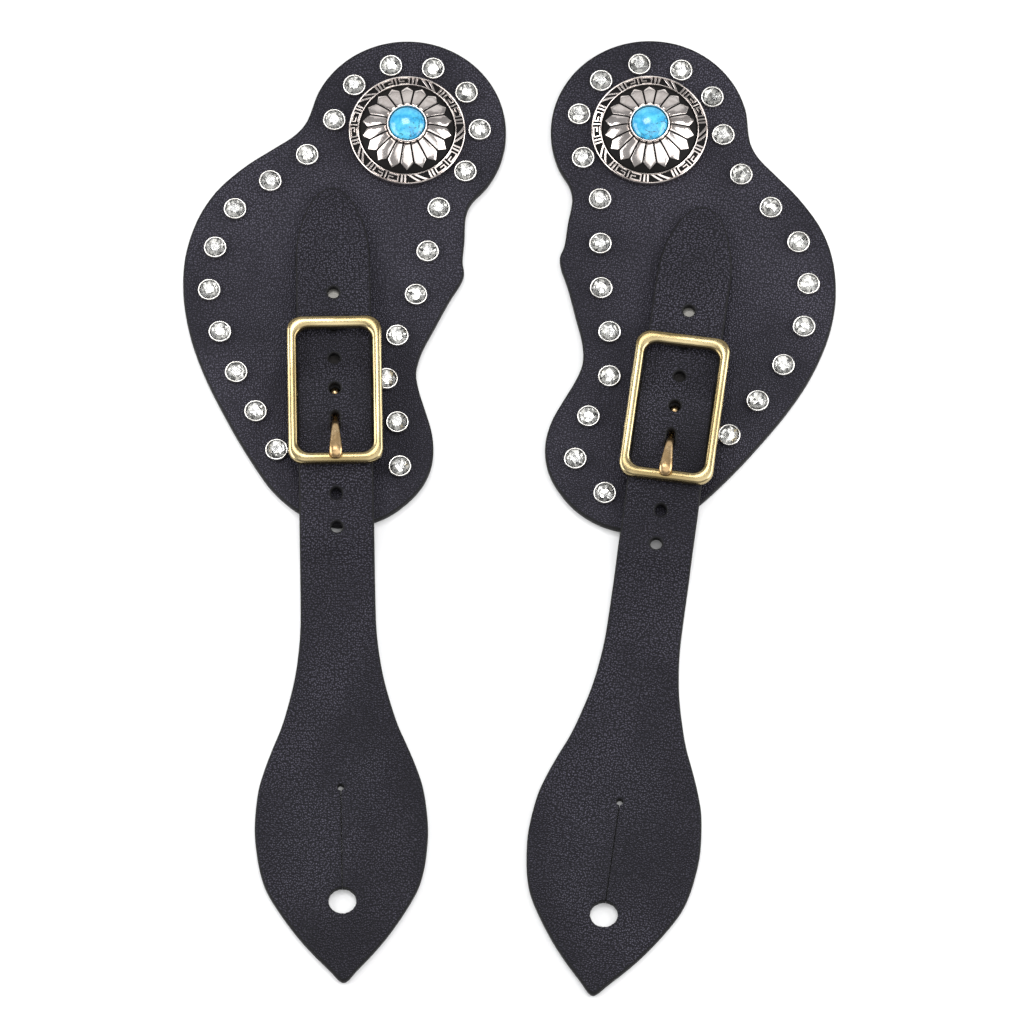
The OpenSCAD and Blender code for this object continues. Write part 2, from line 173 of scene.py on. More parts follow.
class Build:
    """Gathers parts of one piece: vertices, faces, a material number per face, and the flat
    pattern coordinates and a mask per vertex that the materials read."""

    def __init__(self):
        self.verts, self.faces, self.mats, self.flat, self.mask = [], [], [], [], []
        self.count = 0

    def add(self, verts, faces, mat=0, flat=None, mask=1.0):
        verts = np.asarray(verts, float)
        base, n = self.count, len(verts)
        self.verts.append(verts)
        self.faces += [[base + i for i in f] for f in faces]
        self.mats += mat if isinstance(mat, list) else [mat] * len(faces)
        self.flat.append(verts if flat is None else np.asarray(flat, float))
        self.mask.append(np.broadcast_to(mask, n))
        self.count += n

    def object(self, name, materials, lie=None, smooth=True, sharp=None, place=None):
        verts, faces = np.vstack(self.verts), self.faces
        verts = place(verts) if place else lie.place(verts)
        if lie and lie.mirrored:
            faces = [f[::-1] for f in faces]
        mesh = bpy.data.meshes.new(name)
        mesh.from_pydata(verts.tolist(), [], faces)
        mesh.polygons.foreach_set("material_index", np.array(self.mats, np.int32))
        mesh.polygons.foreach_set("use_smooth", np.full(len(faces), smooth))
        flat = mesh.attributes.new("flat", "FLOAT_VECTOR", "POINT")
        flat.data.foreach_set("vector", np.vstack(self.flat).astype(np.float32).ravel())
        mask = mesh.attributes.new("mask", "FLOAT", "POINT")
        mask.data.foreach_set("value", np.concatenate(self.mask).astype(np.float32))
        if sharp is not None:
            mesh.set_sharp_from_angle(angle=math.radians(sharp))
        for m in materials:
            mesh.materials.append(m)
        mesh.validate()
        return placed(name, mesh)


def area_of(loop):
    x, y = loop[:, 0], loop[:, 1]
    return 0.5 * float(np.sum(x * np.roll(y, -1) - np.roll(x, -1) * y))


def inset(loop, d):
    """The loop moved into the material by d: to the left of its direction."""
    t = np.roll(loop, -1, 0) - np.roll(loop, 1, 0)
    t /= np.maximum(np.linalg.norm(t, axis=1, keepdims=True), 1e-9)
    return loop + d * np.column_stack([-t[:, 1], t[:, 0]])


def curve_through(points, step, closed=True):
    """Points about a step apart on a smooth curve through the given ones."""
    p = np.asarray(points, float)
    before, after = (p[-1:], p[:2]) if closed else (p[:1], p[-1:])
    q = np.vstack([before, p, after])
    out = []
    for a, b, c, d in zip(q, q[1:], q[2:], q[3:]):
        k = max(1, round(float(np.linalg.norm(c - b)) / step))
        for t in np.arange(k) / k:
            out.append(
                0.5 * (2 * b + (c - a) * t + (2 * a - 5 * b + 4 * c - d) * t**2
                       + (3 * b - a - 3 * c + d) * t**3)
            )
    if not closed:
        out.append(p[-1])
    return np.array(out)


def circle(r, n, centre=(0, 0)):
    a = np.arange(n) * 2 * math.pi / n
    return np.column_stack([centre[0] + r * np.cos(a), centre[1] + r * np.sin(a)])


def inside(points, loop):
    """Which points lie inside a closed loop."""
    x, y = points[:, 0], points[:, 1]
    hit = np.zeros(len(points), bool)
    for (x1, y1), (x2, y2) in zip(loop, np.roll(loop, -1, 0)):
        if y1 != y2:
            hit ^= ((y1 > y) != (y2 > y)) & (x < (x2 - x1) * (y - y1) / (y2 - y1) + x1)
    return hit


def distance_to(points, loops):
    """Distance from each point to the nearest vertex of any loop."""
    edge = np.vstack(loops)
    out = np.empty(len(points))
    for i in range(0, len(points), 2000):
        away = points[i:i + 2000, None] - edge
        out[i:i + 2000] = np.sqrt((away ** 2).sum(2).min(1))
    return out


def filled(loops, spacing):
    """A flat sheet inside the first loop and outside the others: its points, the loops' own
    first, then for each of those the next one round its loop, and the triangles."""
    low, high = loops[0].min(0), loops[0].max(0)
    rows = np.arange(low[1], high[1], spacing * 0.866)
    grid = np.array([
        (x + (j % 2) * spacing / 2, y)
        for j, y in enumerate(rows)
        for x in np.arange(low[0], high[0], spacing)
    ]).reshape(-1, 2)
    keep = inside(grid, loops[0])
    for loop in loops[1:]:
        keep &= ~inside(grid, loop)
    grid = grid[keep]
    grid = grid[distance_to(grid, loops) > 0.55 * spacing]
    points = np.vstack([*loops, grid])
    edges = []
    for loop in loops:
        n, start = len(loop), len(edges)
        edges += [(start + i, start + (i + 1) % n) for i in range(n)]
    _, _, tris, origin, _, _ = delaunay_2d_cdt([Vector(p) for p in points], edges, [], 2, 1e-6)
    back = [o[0] if o else -1 for o in origin]
    tris = [[back[i] for i in f] for f in tris if all(back[i] >= 0 for i in f)]
    tris = [
        f if np.cross(points[f[1]] - points[f[0]], points[f[2]] - points[f[0]]) > 0 else f[::-1]
        for f in tris
    ]
    middles = np.array([points[f].mean(0) for f in tris])
    solid = np.ones(len(tris), bool)
    for loop in loops[1:]:
        solid &= ~inside(middles, loop)
    return points, [b for _, b in edges], [f for f, keep in zip(tris, solid) if keep]


def slab(loops, t, spacing, edge, under, steps=4, softness=None):
    """A flat sheet of thickness t with rounded rims, as vertices (x, y, height), faces,
    material numbers (0 top, 1 rim, 2 underside) and each vertex's distance from a rim.
    The first loop is its outline and the others are its holes; softness gives for each loop
    the share of the rounding that its rim has."""
    soft = softness or [1] * len(loops)
    loops = [
        loop if (area_of(loop) > 0) == (k == 0) else loop[::-1] for k, loop in enumerate(loops)
    ]
    profile = [
        (edge * (1 - math.sin(a)), t - edge * (1 - math.cos(a)))
        for a in np.linspace(0, math.pi / 2, steps)
    ]
    profile += [
        (under * (1 - math.cos(a)), under * (1 - math.sin(a)))
        for a in np.linspace(0, math.pi / 2, 3)
    ]

    def moved(d):
        return [inset(loop, d * k) for loop, k in zip(loops, soft)]

    points, following, tris = filled(moved(edge), spacing)
    n, rim_n = len(points), len(following)
    rings = [np.column_stack([np.vstack(moved(d)), np.full(rim_n, h)]) for d, h in profile[1:-1]]
    bottom = np.vstack([*moved(under), points[rim_n:]])
    verts = np.vstack([np.column_stack([points, np.full(n, t)]), *rings,
                       np.column_stack([bottom, np.zeros(n)])])
    starts = [0] + [n + k * rim_n for k in range(len(rings) + 1)]
    faces, mats = list(tris), [0] * len(tris)
    for a, b in zip(starts, starts[1:]):
        faces += [[a + i, b + i, b + j, a + j] for i, j in enumerate(following)]
        mats += [1] * rim_n
    faces += [[starts[-1] + i for i in f[::-1]] for f in tris]
    mats += [2] * len(tris)
    return verts, faces, mats, distance_to(verts[:, :2], loops)


def ring_at(r, z, angles):
    """Points at the given angles on a level circle round the Z axis."""
    return np.column_stack([r * np.cos(angles), r * np.sin(angles), np.full(len(angles), z)])


def lathe(profile, n):
    """A solid turned round the Z axis from (r, z, mask) points that run round its section."""
    verts, faces, mask, rings = [], [], [], []
    a = np.arange(n) * 2 * math.pi / n
    for r, z, m in profile:
        start = sum(len(v) for v in verts)
        if r < 1e-6:
            verts.append(np.array([[0, 0, z]]))
            rings.append([start] * n)
            mask.append([m])
        else:
            verts.append(ring_at(r, z, a))
            rings.append(list(range(start, start + n)))
            mask.append([m] * n)
    pairs = list(zip(rings, rings[1:]))
    if profile[0][0] > 1e-6:
        pairs.append((rings[-1], rings[0]))
    for p, q in pairs:
        for i in range(n):
            j = (i + 1) % n
            f = [p[i], p[j], q[j], q[i]]
            f = [x for k, x in enumerate(f) if x != f[k - 1]]
            if len(f) > 2:
                faces.append(f)
    return np.vstack(verts), faces, np.concatenate(mask)


def tube(rings, closed=False):
    """Faces that join rings of points, each ring an array of the same length."""
    k, m = len(rings), len(rings[0])
    faces = []
    for i in range(k if closed else k - 1):
        j = (i + 1) % k
        faces += [
            [i * m + a, i * m + (a + 1) % m, j * m + (a + 1) % m, j * m + a] for a in range(m)
        ]
    if not closed:
        faces.append(list(range(m))[::-1])
        faces.append([(k - 1) * m + a for a in range(m)])
    return np.vstack(rings), faces


def swell(x, z, power):
    """A point on a squarish oval of half size 1."""
    return math.copysign(abs(x) ** (2 / power), x), math.copysign(abs(z) ** (2 / power), z)


def headings(line):
    """The unit direction of a line in a plane at each of its points."""
    p = np.asarray(line, float)[:, :2]
    d = np.vstack([p[1:], p[-1:]]) - np.vstack([p[:1], p[:-1]])
    return d / np.linalg.norm(d, axis=1, keepdims=True)


def ripple(x, y, seed, size):
    """A smooth, repeatable unevenness from about -0.5 to 0.5 with waves of the given size."""
    return noise.noise(Vector((x / size, y / size, seed)))


def waves(points, *parts):
    """Unevenness at each point, summed over parts of (seed, size of the waves, height)."""
    return np.array([sum(ripple(x, y, seed, size) * height for seed, size, height in parts)
                     for x, y in points])


def smooth(t):
    """An even rise from 0 to 1 while t goes from 0 to 1."""
    t = np.clip(t, 0, 1)
    return t * t * (3 - 2 * t)


# ---- materials


class Nodes:
    """A material's node tree, with one call to add a node and link what goes into it."""

    def __init__(self, name):
        self.material = bpy.data.materials.new(name)
        self.material.use_nodes = True
        self.tree = self.material.node_tree
        self.shader = self.tree.nodes["Principled BSDF"]

    def add(self, kind, inputs=None, **settings):
        made = self.tree.nodes.new("ShaderNode" + kind)
        for key, value in settings.items():
            setattr(made, key, value)
        for key, value in (inputs or {}).items():
            self.put(made.inputs[key], value)
        return made

    def put(self, socket, value):
        if isinstance(value, bpy.types.NodeSocket):
            self.tree.links.new(value, socket)
        else:
            socket.default_value = value

    def set(self, **values):
        for key, value in values.items():
            self.put(self.shader.inputs[key.replace("_", " ")], value)

    def math(self, operation, a, b=0.0, c=0.0):
        made = self.add("Math", operation=operation)
        for i, value in enumerate((a, b, c)):
            self.put(made.inputs[i], value)
        return made.outputs[0]

    def mix(self, share, a, b):
        made = self.add("Mix", data_type="RGBA")
        for key, value in ((0, share), (6, a), (7, b)):
            self.put(made.inputs[key], value)
        return made.outputs[2]

    def ramp(self, value, low, high, to_low=0.0, to_high=1.0):
        made = self.add("MapRange", {"Value": value}, interpolation_type="SMOOTHSTEP")
        for i, x in enumerate((low, high, to_low, to_high)):
            made.inputs[i + 1].default_value = x
        return made.outputs[0]

    def scaled(self, vector, scale, offset=(0, 0, 0)):
        made = self.add("Mapping", {"Vector": vector, "Scale": scale, "Location": offset})
        return made.outputs[0]

    def vector(self, operation, a, b):
        made = self.add("VectorMath", {0: a}, operation=operation)
        self.put(made.inputs["Scale" if operation == "SCALE" else 1], b)
        return made.outputs[0]

    def noise(self, vector, scale, detail=2.0, rough=0.5, output="Fac"):
        made = self.add(
            "TexNoise",
            {"Vector": vector, "Scale": scale, "Detail": detail, "Roughness": rough},
        )
        return made.outputs[output]

    def attribute(self, name, output):
        return self.add("Attribute", attribute_name=name).outputs[output]

    def bump(self, height, distance, strength=1.0, normal=None):
        made = self.add("Bump", {"Height": height, "Distance": distance, "Strength": strength})
        if normal is not None:
            self.put(made.inputs["Normal"], normal)
        return made.outputs[0]


def colour(r, g, b):
    """An sRGB colour of 0 to 255 as the linear one that a socket takes."""
    def line(x):
        x /= 255
        return x / 12.92 if x <= 0.04045 else ((x + 0.055) / 1.055) ** 2.4
    return (line(r), line(g), line(b), 1)


GRAIN_DEPTH = 0.34 * MM


def leather(name, dark, light, stretch, depth, seed):
    """Black top-grain leather with fine pebbles drawn out one way, worn a little at its rims. The
    tone lies between dark and light; depth is how dark painted shade makes the creases between
    pebbles, while the pebble tops stay light as painted sheen."""
    n = Nodes(name)
    flat = n.attribute("flat", "Vector")
    rim = n.attribute("mask", "Fac")
    drift = n.noise(n.scaled(flat, (1, 1, 1), (seed, 0, 0)), 0.055, 1.0)
    shake = n.vector("SUBTRACT", n.noise(flat, 0.5, 3.0, output="Color"), (0.5, 0.5, 0.5))
    bent = n.vector("ADD", flat, n.vector("SCALE", shake, 0.9))
    per_mm = 1.8
    cell = n.add("Mix", data_type="FLOAT")
    n.put(cell.inputs[0], n.ramp(drift, 0.5, 0.62))
    for socket, scale in ((2, (per_mm, per_mm / stretch, 0.2)),
                          (3, (per_mm / stretch, per_mm, 0.2))):
        grain = n.add("TexVoronoi", {"Vector": n.scaled(bent, scale), "Scale": 1.0,
                                     "Smoothness": 0.08, "Randomness": 0.78},
                      feature="SMOOTH_F1", voronoi_dimensions="2D")
        n.put(cell.inputs[socket], grain.outputs["Distance"])
    pebble = n.ramp(cell.outputs[0], 0.47, 0.06)
    fine = n.noise(flat, 2.6, 3.0, 0.6)
    height = n.math("MULTIPLY_ADD", fine, 0.5, pebble)
    patch = n.noise(n.scaled(flat, (1, 0.7, 1), (0, seed, 0)), 0.04, 3.0)
    tone = n.ramp(n.math("MULTIPLY_ADD", fine, 0.3, patch), 0.45, 0.85)
    base = n.mix(tone, dark, light)
    # Painted shade: the creases between pebbles are darkened nearly to black, which leaves the
    # pebble tops light as painted sheen.
    base = n.mix(n.math("MULTIPLY_ADD", pebble, depth, 1 - depth),
                 (0.0018, 0.0018, 0.0026, 1), base)
    worn = n.ramp(rim, 0.9, 0.2, 0.0, 0.25)
    base = n.mix(worn, base, (0.009, 0.0087, 0.0105, 1))
    rough = n.math("MULTIPLY_ADD", pebble, -0.2, n.math("MULTIPLY_ADD", patch, 0.1, 0.5))
    n.set(Base_Color=base, Roughness=rough, Specular_IOR_Level=0.2,
          Specular_Tint=(0.9, 0.88, 1.0, 1))
    n.set(Normal=n.bump(height, GRAIN_DEPTH))
    return n.material


def leather_edge(name):
    """The cut edge of black leather: dyed, burnished, with fibres along it."""
    n = Nodes(name)
    flat = n.attribute("flat", "Vector")
    fibre = n.noise(n.scaled(flat, (0.9, 0.9, 7)), 1.3, 3.0)
    base = n.mix(fibre, (0.003, 0.003, 0.0035, 1), (0.013, 0.0125, 0.0135, 1))
    n.set(Base_Color=base, Roughness=n.ramp(fibre, 0.3, 0.7, 0.5, 0.7),
          Specular_IOR_Level=0.16)
    n.set(Normal=n.bump(fibre, 0.08 * MM, 0.6))
    return n.material


def leather_flesh(name):
    """The underside of black leather: matt, fibrous and a little greyer."""
    n = Nodes(name)
    flat = n.attribute("flat", "Vector")
    nap = n.noise(n.scaled(flat, (1, 0.6, 1)), 2.4, 5.0, 0.7)
    patch = n.noise(flat, 0.06, 3.0)
    base = n.mix(nap, (0.012, 0.011, 0.011, 1), (0.05, 0.046, 0.045, 1))
    base = n.mix(n.ramp(patch, 0.4, 0.7, 0, 0.5), base, (0.018, 0.017, 0.018, 1))
    n.set(Base_Color=base, Roughness=0.92, Specular_IOR_Level=0.2)
    n.set(Normal=n.bump(nap, 0.18 * MM, 0.7))
    return n.material


def metal(name, light, dark, rough, patina=None, streaks=(1, 1, 1), grain=0.9, scratch=0.01 * MM):
    """Polished or satin metal with uneven tone, fine scratches and, in the low places of its
    mask, a dark patina."""
    n = Nodes(name)
    flat = n.attribute("flat", "Vector")
    fac = n.attribute("mask", "Fac")
    cloud = n.noise(flat, 0.35, 3.0)
    lines = n.noise(n.scaled(flat, streaks), grain, 4.0, 0.65)
    base = n.mix(n.ramp(cloud, 0.35, 0.65), light, dark)
    base = n.mix(n.ramp(lines, 0.55, 0.8, 0, 0.35), base, dark)
    roughness = n.math("MULTIPLY_ADD", lines, rough * 0.6,
                       n.math("MULTIPLY_ADD", cloud, rough * 0.3, rough * 0.55))
    if patina is not None:
        clean = n.ramp(n.math("MULTIPLY_ADD", lines, 0.3, fac), 0.3, 0.85)
        base = n.mix(clean, patina, base)
        metallic = n.ramp(clean, 0.1, 0.7, 0.1, 1.0)
        roughness = n.math("ADD", roughness, n.ramp(clean, 0.0, 0.8, 0.45, 0.0))
        n.set(Metallic=metallic, Specular_IOR_Level=0.12)
    else:
        n.set(Metallic=1.0)
    n.set(Base_Color=base, Roughness=roughness)
    n.set(Normal=n.bump(lines, scratch, 0.6))
    return n.material


def turquoise(name):
    """Sky-blue stone with paler clouds and thin dark veins gathered on one side."""
    n = Nodes(name)
    flat = n.attribute("flat", "Vector")
    cloud = n.noise(flat, 0.42, 4.0, 0.6)
    mottle = n.noise(n.scaled(flat, (1, 1, 1), (7, 3, 0)), 1.6, 5.0, 0.7)
    shake = n.vector("ADD", flat, n.noise(flat, 0.8, 3.0, output="Color"))
    vein = n.add("TexVoronoi", {"Vector": shake, "Scale": 0.55}, feature="DISTANCE_TO_EDGE")
    split = n.add("SeparateXYZ", {0: flat})
    side = n.ramp(n.math("MULTIPLY_ADD", cloud, 5.0,
                         n.math("SUBTRACT", split.outputs[0], split.outputs[1])), 1.2, 6.0)
    base = n.mix(n.ramp(cloud, 0.35, 0.68), colour(38, 148, 198), colour(84, 190, 222))
    base = n.mix(n.ramp(mottle, 0.55, 0.75, 0, 0.6), base, colour(20, 104, 156))
    line = n.math("MULTIPLY", n.ramp(vein.outputs["Distance"], 0.13, 0.0), side)
    line = n.math("MULTIPLY", line, n.ramp(mottle, 0.42, 0.6))
    base = n.mix(line, base, colour(18, 40, 58))
    n.set(Base_Color=base, Roughness=0.2, Specular_IOR_Level=0.5, Coat_Weight=0.5,
          Coat_Roughness=0.06)
    n.set(Normal=n.bump(mottle, 0.02 * MM, 0.5))
    return n.material


def crystal_glass(name):
    """Clear cut glass, very slightly smoky and marked, over a silvered back."""
    n = Nodes(name)
    flat = n.attribute("flat", "Vector")
    haze = n.noise(flat, 0.9, 3.0)
    n.set(Base_Color=n.mix(haze, (0.97, 0.97, 0.96, 1), (0.9, 0.91, 0.9, 1)),
          Roughness=n.ramp(haze, 0.4, 0.8, 0.0, 0.04),
          Transmission_Weight=1.0, IOR=1.47)
    return n.material


def crystal_foil(name):
    """The silvered facets behind the glass, each a little lighter or darker: painted reflection
    standing in for the glints of a cut stone.
    """
    n = Nodes(name)
    flat = n.attribute("flat", "Vector")
    fac = n.attribute("mask", "Fac")
    spots = n.noise(flat, 1.7, 3.0)
    base = n.mix(fac, (0.05, 0.05, 0.048, 1), (0.84, 0.82, 0.79, 1))
    base = n.mix(n.ramp(spots, 0.6, 0.8, 0, 0.4), base, (0.2, 0.19, 0.17, 1))
    n.set(Base_Color=base, Metallic=0.86, Roughness=n.ramp(spots, 0.3, 0.8, 0.1, 0.24))
    return n.material


# Both leathers' tones sit well above black leather's own colour: painted sheen standing in for the
# light caught by the pebble tops.
TOP = leather("tongue_leather", (0.052, 0.0495, 0.0665, 1), (0.114, 0.108, 0.143, 1),
              1.2, 0.9, 3.0)
STRAP = leather("billet_leather", (0.04, 0.038, 0.051, 1), (0.096, 0.091, 0.121, 1),
                1.25, 0.97, 8.0)
EDGE = leather_edge("leather_edge")
FLESH = leather_flesh("leather_flesh")
LEATHER = [TOP, EDGE, FLESH]
BRASS = metal("satin_brass", colour(188, 172, 132), colour(143, 126, 88), 0.25,
              streaks=(0.5, 0.5, 0.5), grain=2.2, scratch=0.012 * MM)
PRONG_BRASS = metal("coppery_brass", colour(216, 188, 146), colour(180, 150, 108), 0.28,
                    streaks=(3, 0.6, 3), grain=1.6, scratch=0.012 * MM)
CONCHO_SILVER = metal("antique_nickel", colour(226, 218, 213), colour(206, 197, 192), 0.16,
                      patina=(0.006, 0.0055, 0.0055, 1), grain=1.8, scratch=0.006 * MM)
CUP_NICKEL = metal("stud_nickel", colour(228, 226, 222), colour(200, 197, 192), 0.2, grain=2.5)
# Nickel darker and rougher than clean plating: painted shade, so the chape rivet seen through the
# billet's hole shows dim.
SHADE_DIMMED_NICKEL = metal("plain_nickel", colour(156, 154, 149), colour(104, 102, 98), 0.5, grain=1.4)
STONE = turquoise("turquoise")
GLASS = crystal_glass("crystal_glass")
FOIL = crystal_foil("crystal_foil")


# ---- leather parts


def cad_top_loops(node):
    """Every rim of the flat top of a CAD node, as loops of (x, y) in metres, longest first."""
    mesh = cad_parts[node].data
    co = np.array([v.co for v in mesh.vertices])
    top = co[:, 2].max() - 1e-6
    keys = [(round(x * 1e6), round(y * 1e6)) for x, y, _ in co]
    edges = {}
    for p in mesh.polygons:
        if all(co[i, 2] > top for i in p.vertices):
            corners = [keys[i] for i in p.vertices]
            for a, b in zip(corners, corners[1:] + corners[:1]):
                if (b, a) in edges:
                    del edges[b, a]
                else:
                    edges[a, b] = True
    following = {a: b for a, b in edges}
    loops = []
    while following:
        start, here = next(iter(following.items()))
        del following[start]
        loop = [start]
        while here != start:
            loop.append(here)
            here = following.pop(here)
        loops.append(np.array(loop, float) * 1e-6)
    return sorted(loops, key=lambda p: -abs(area_of(p)))


def parts_of(node):
    """Centres of a CAD node's separate solids, in metres, in a fixed order."""
    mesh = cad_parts[node].data
    owner = {}

    def root(a):
        while owner[a] != a:
            owner[a] = owner[owner[a]]
            a = owner[a]
        return a

    co = [tuple(round(c * 1e6) for c in v.co) for v in mesh.vertices]
    for c in co:
        owner.setdefault(c, c)
    for p in mesh.polygons:
        ids = [co[i] for i in p.vertices]
        for b in ids[1:]:
            owner[root(ids[0])] = root(b)
    groups = {}
    for c in set(co):
        groups.setdefault(root(c), []).append(c)
    centres = [(np.min(g, 0) + np.max(g, 0)) / 2 * 1e-6 for g in groups.values()]
    return sorted(centres, key=lambda c: (round(c[1], 4), round(c[0], 4)))


def make_tongue(lie):
    """The wide panel: dented round its rivets, pressed under the billet and a little wavy."""
    loops = cad_top_loops(f"{lie.side}_tongue_body")
    local = [lie.unplace(np.column_stack([p, np.zeros(len(p))]))[:, :2] for p in loops]
    local[0] = curve_through(local[0], 0.8)
    verts, faces, mats, far = slab(local, TONGUE_T, 1.5, 0.42, 0.25)
    studs = lie.unplace(np.array(parts_of(f"{lie.side}_stud_rims")))[:, :2]
    x, y, h = verts[:, 0], verts[:, 1], verts[:, 2]
    upper = h / TONGUE_T
    gap = distance_to(verts[:, :2], [studs])
    dent = -0.16 * (1 - smooth((gap - STUD_R + 0.4) / 1.5))
    wavy = waves(verts[:, :2], (lie.seed, 21, 0.16), (lie.seed + 5, 7, 0.05))
    beside = smooth((np.abs(x) - BILLET_W / 2) / 2.2)
    pressed = -0.14 * (1 - beside) * smooth((48 - y) / 6) * smooth((y + 30) / 6)
    from_screw = np.hypot(x - lie.concho[0], y - lie.concho[1])
    recess = np.where(from_screw < SCREW_RECESS_R, SCREW_RECESS, 0.0)
    z = GROUND_GAP + np.maximum(h, recess) + upper * (dent + wavy + pressed)
    flat = np.column_stack([x, y, h + lie.seed * 10])
    build = Build()
    build.add(np.column_stack([x, y, z]), faces, mats, flat, far)
    return build.object(f"{lie.side}_tongue_leather", LEATHER, lie)


def billet_rest(v):
    """Height of the billet's underside at each distance v along it."""
    out = np.zeros(len(v))
    for (a, za), (b, zb) in zip(BILLET_REST, BILLET_REST[1:]):
        t = (a - v) / (a - b)
        part = (t >= 0) & (t <= 1)
        out[part] = za + (zb - za) * smooth(t[part])
    out[v > BILLET_END] = BILLET_REST[0][1]
    return out


def billet_outline():
    """Outline of the billet and its leaf, from the rounded tip down to the leaf's point."""
    half, straight = BILLET_W / 2, BILLET_END - BILLET_TIP
    tip = []
    for a in np.linspace(0, math.pi / 2, 22):
        x, y = swell(math.cos(a), math.sin(a), 1.86)
        tip.append((half * x, straight + BILLET_TIP * y))
    side = [(half, y) for y in np.arange(-49.2, straight, 0.8)] + tip[1:]
    leaf = curve_through([(w, y) for y, w in LEAF_HALF_W], 0.8, closed=False)
    right = [tuple(p) for p in leaf[::-1]] + side
    left = [(-x, y) for x, y in right[::-1] if x > 1e-6]
    return np.array(right[1:] + left + [(0, LEAF_END + 0.12)])


def keyhole(rng):
    """The button hole, a little frayed, with the slit that runs from it to its small end hole."""
    half = 0.05
    a0 = math.asin(half / BUTTON_R)
    points = []
    for a in np.linspace(math.pi / 2 + a0, 5 * math.pi / 2 - a0, 54):
        r = BUTTON_R + rng.uniform(-0.07, 0.05)
        points.append((r * math.cos(a), BUTTON_Y + r * math.sin(a)))
    low = BUTTON_Y + BUTTON_R * math.cos(a0)
    b0 = math.asin(half / SLIT_END_R)
    high = SLIT_END_Y - SLIT_END_R * math.cos(b0)
    points += [(half, y) for y in np.linspace(low, high, 34)[1:-1]]
    points += [
        (SLIT_END_R * math.sin(a), SLIT_END_Y - SLIT_END_R * math.cos(a))
        for a in np.linspace(b0, 2 * math.pi - b0, 16)
    ]
    points += [(-half, y) for y in np.linspace(high, low, 34)[1:-1]]
    return np.array(points)


def make_billet(lie):
    """The billet with its leaf: sunk adjusting holes, and a pucker where the prong comes up."""
    rng = np.random.default_rng(lie.seed)
    loops = [billet_outline(), keyhole(rng)]
    centres = [ADJUST_FIRST_Y - i * ADJUST_PITCH for i in range(ADJUST_COUNT) if i != PRONG_HOLE]
    loops += [circle(ADJUST_R, 26, (0, y)) for y in centres]
    a = np.linspace(0, math.pi, 12)
    end = PRONG_SLOT_HALF_W * np.column_stack([np.cos(a), np.sin(a)])
    loops.append(np.vstack([end + [0, PRONG_SLOT_Y[0]], [0, PRONG_SLOT_Y[1]] - end]))
    softness = [1, 0.3] + [1] * (len(loops) - 2)
    verts, faces, mats, far = slab(loops, BILLET_T, 1.35, 0.4, 0.22, softness=softness)
    x, y, h = verts[:, 0], verts[:, 1], verts[:, 2]
    upper = h / BILLET_T
    holes = np.array([(0, c) for c in centres])
    ring = distance_to(verts[:, :2], [holes])
    lip = -0.13 * (1 - smooth((ring - ADJUST_R) / 1.3))
    prong = np.hypot(x / 1.4, y + 8.8)
    pucker = -0.45 * np.exp(-((prong - 1.2) / 1.5) ** 2)
    pucker += 0.12 * np.exp(-((prong - 4.2) / 1.6) ** 2)
    wavy = waves(verts[:, :2], (lie.seed + 2, 17, 0.16), (lie.seed + 9, 6, 0.045))
    crown = 0.1 * (1 - (x / np.maximum(9.5, np.abs(x) + 0.1)) ** 2)
    crown *= 1 + 3.2 * np.exp(-((y - 0.5) / 5) ** 2)
    z = billet_rest(y) + h + upper * (lip + pucker + wavy + crown)
    flat = np.column_stack([x, y, h + lie.seed * 10 + 4])
    build = Build()
    build.add(np.column_stack([x, y, z]), faces, mats, flat, far)
    return build.object(f"{lie.side}_billet_leather", [STRAP, EDGE, FLESH], lie)


def chape_line():
    """The chape's middle line as (y, z), from its end on the tongue, round the centre bar and
    back above itself. Also gives which of its points begin and end the bend."""
    low, r = TONGUE_TOP + CHAPE_T / 2, BAR_R + 0.05 + CHAPE_T / 2
    under_n, bend_n = 30, 25
    line = [(v, low) for v in np.linspace(CHAPE_L, 0, under_n)]
    line += [(-r * math.cos(a), BAR_Z + r * math.sin(a))
             for a in np.linspace(-math.pi / 2, math.pi / 2, bend_n + 1)[1:]]
    start, upper = line[-1][1], TONGUE_TOP + 1.5 * CHAPE_T
    line += [(v, start + (upper - start) * float(smooth(v / CHAPE_FOLD)))
             for v in np.linspace(0, CHAPE_FOLD, 14)[1:]]
    line += [(v, upper) for v in np.linspace(CHAPE_FOLD, CHAPE_L, 22)[1:]]
    return np.array(line), under_n - 1, under_n + bend_n - 1


def chape_loops(line, run, bend_start, bend_end):
    """The chape laid out flat: its outline, the slot for the prong and the rivet holes."""
    total, w = run[-1], CHAPE_W / 2
    steps = np.arange(0.6, total - 0.3, 0.6)
    sides = np.linspace(-w + 0.7, w - 0.7, 24)
    outline = np.array(
        [(-w, s) for s in steps] + [(s, total) for s in sides]
        + [(w, s) for s in steps[::-1]] + [(s, 0) for s in sides[::-1]]
    )
    fold = (run[bend_start] + run[bend_end]) / 2
    half = np.array([(-1.5, -3.2), (-1.5, -1.1), (-1.5, 1.1), (-1.5, 3.2), (0, 4.1)])
    slot = np.vstack([half, -half]) + [0, fold]
    above = slice(bend_end + 1, None)
    rivets = [circle(1.25, 16, (0, s)) for y in CHAPE_RIVET_Y
              for s in (CHAPE_L - y, float(np.interp(y, line[above, 0], run[above])))]
    return [outline, slot, *rivets]


